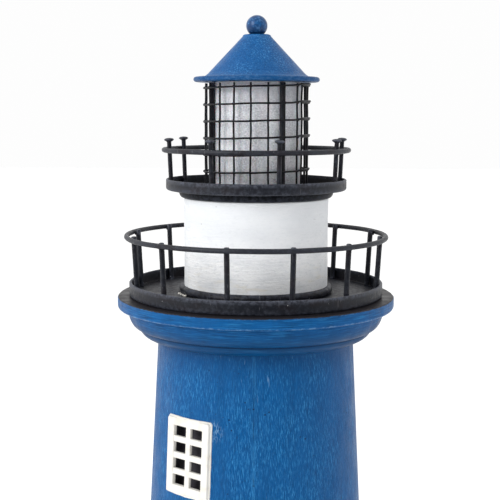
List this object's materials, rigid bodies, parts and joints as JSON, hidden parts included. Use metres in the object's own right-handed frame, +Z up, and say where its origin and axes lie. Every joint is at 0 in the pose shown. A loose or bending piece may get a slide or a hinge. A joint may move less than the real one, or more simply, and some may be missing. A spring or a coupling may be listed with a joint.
{
  "type": "decorative lighthouse",
  "caption": "Turned wooden lighthouse ornament with a moulded cornice, two railed galleries, a white drum and a wire-caged frosted lantern under a lift-off cone roof.",
  "frame": {"origin": "middle of the felt's underside, on the tower's own axis", "axes": "+Z up along the tower, -Y the front (the side with the windows and the door turned a little to its left), +X to the right"},
  "size_m": [0.1228, 0.1228, 0.3663],
  "materials": {
    "felt": "flat felt",
    "blue_paint": "brushed satin paint on turned wood, rubbed at the edges",
    "white_paint": "satin paint",
    "bare_steel": "plain",
    "bare_wood": "bare",
    "drum_paint": "matte plaster-white paint",
    "black_metal": "worn satin black",
    "mesh_wire": "satin black",
    "frosted_plastic": "frosted",
    "knob": "dull",
    "light_shell": "satin",
    "light_flame": "translucent",
    "led": "clear",
    "cell": "bright",
    "switch": "satin"
  },
  "bodies": {
    "tower": {"felt_pad": "felt", "plinth": "blue_paint", "plinth_screws": "bare_steel", "foot_dowel": "bare_wood", "tower_left": "blue_paint", "tower_right": "blue_paint", "window_upper": "white_paint", "window_lower": "white_paint", "window_back": "white_paint", "door_frame": "white_paint", "door_panel": "white_paint", "door_knob": "knob", "cornice": "blue_paint", "head_dowel": "bare_wood", "lower_tray": "black_metal", "lower_rail": "black_metal", "baluster_1": "black_metal", "baluster_2": "black_metal", "baluster_3": "black_metal", "baluster_4": "black_metal", "baluster_5": "black_metal", "baluster_6": "black_metal", "baluster_7": "black_metal", "baluster_8": "black_metal", "baluster_9": "black_metal", "baluster_10": "black_metal", "baluster_11": "black_metal", "baluster_12": "black_metal", "drum": "drum_paint", "foot_ring": "black_metal", "collar": "black_metal", "upper_tray": "black_metal", "tray_screws": "bare_steel", "upper_rail": "black_metal", "nail_post_1": "black_metal", "nail_post_2": "black_metal", "nail_post_3": "black_metal", "nail_post_4": "black_metal", "nail_post_5": "black_metal", "nail_post_6": "black_metal", "nail_post_7": "black_metal", "nail_post_8": "black_metal", "lamp_sleeve": "frosted_plastic", "cage_post_1": "black_metal", "cage_post_2": "black_metal", "cage_post_3": "black_metal", "cage_post_4": "black_metal", "mesh_uprights": "mesh_wire", "mesh_hoops": "mesh_wire", "light_cup": "light_shell", "light_base": "light_shell", "light_flame": "light_flame", "light_led": "led", "light_cell": "cell"},
    "roof": {"roof": "blue_paint", "roof_plug": "bare_wood", "ball": "blue_paint", "ball_pin": "bare_steel"},
    "switch": {"light_switch": "switch"}
  },
  "joints": [
    {"name": "roof_lift", "type": "slide", "parent": "tower", "child": "roof", "axis": [0, 0, 1], "range_m": [0, 0.04]},
    {"name": "switch_slide", "type": "slide", "parent": "tower", "child": "switch", "axis": [1, 0, 0], "range_m": [0, 0.002]}
  ]
}
